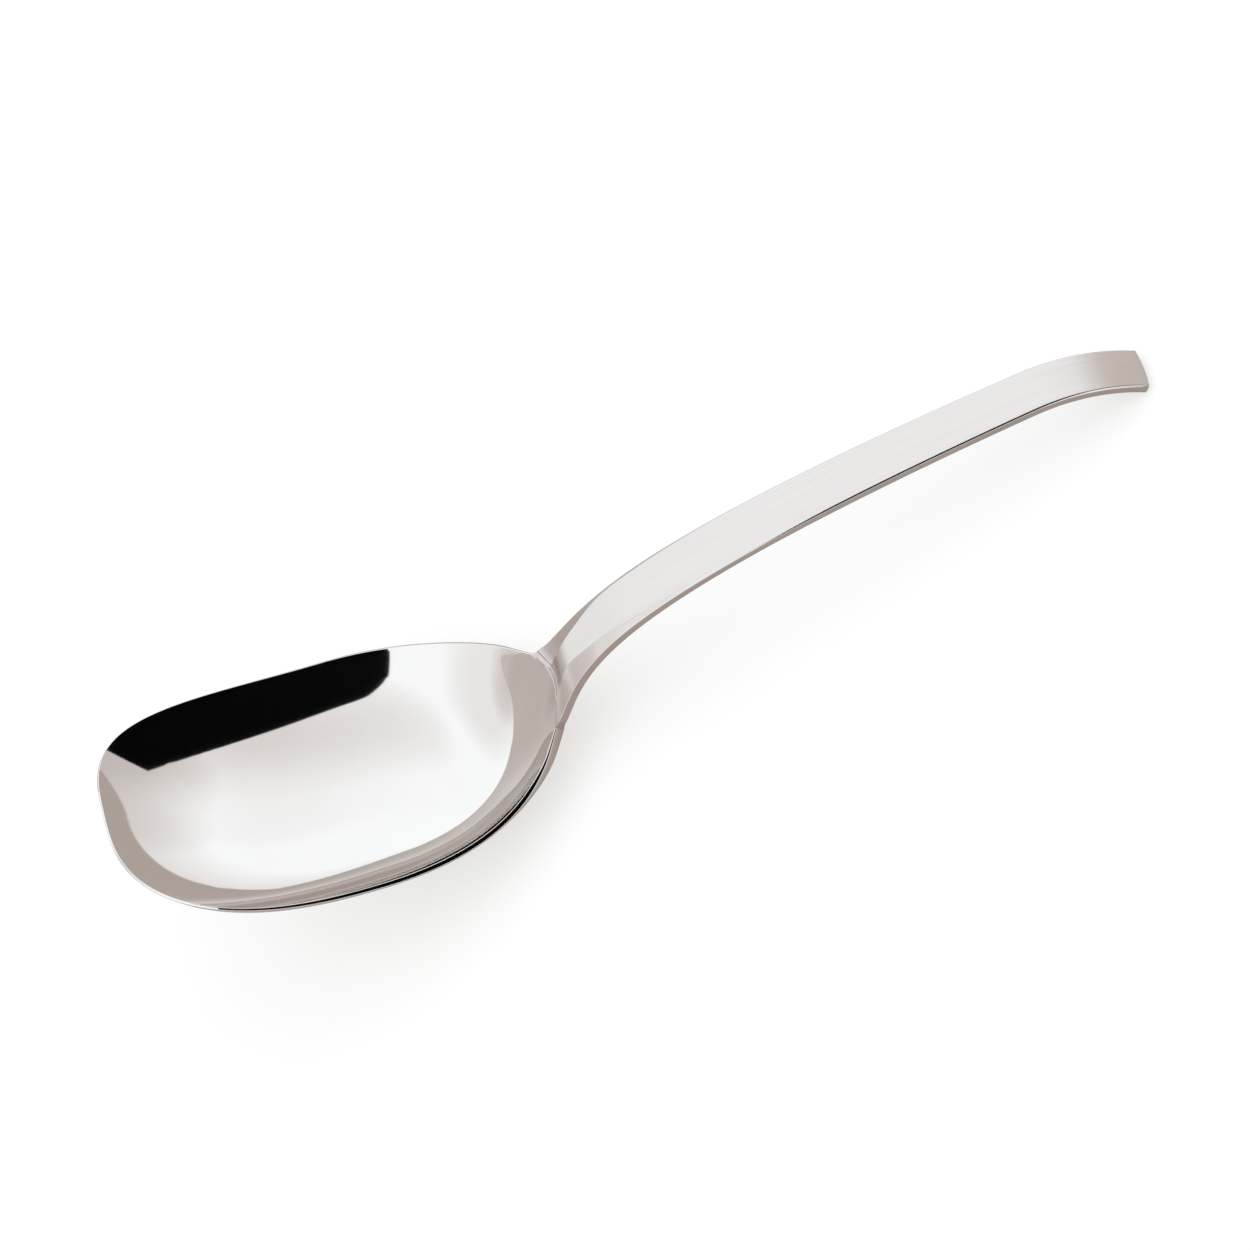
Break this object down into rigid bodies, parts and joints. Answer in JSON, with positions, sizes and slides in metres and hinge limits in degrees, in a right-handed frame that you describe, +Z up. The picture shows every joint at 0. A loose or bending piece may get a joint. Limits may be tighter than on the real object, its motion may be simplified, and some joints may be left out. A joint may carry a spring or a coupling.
{
  "type": "rice serving spoon",
  "caption": "Stainless steel rice serving spoon with a deep blunt-ended mirror-polished bowl welded to a flat satin handle that arches up from the neck and curls down at the tip.",
  "frame": {"origin": "on the table, below the middle of the spoon's bounding box", "axes": "+X from the bowl's tip to the handle's end, +Y across the spoon, +Z up from the table that the spoon lies on"},
  "size_m": [0.2756, 0.0752, 0.0602],
  "materials": {
    "mirror_polished_steel": "polished",
    "polished_weld": "polished",
    "satin_steel": "satin"
  },
  "bodies": {
    "root": {"bowl": "mirror_polished_steel", "neck_weld": "polished_weld", "handle": "satin_steel"}
  },
  "joints": []
}
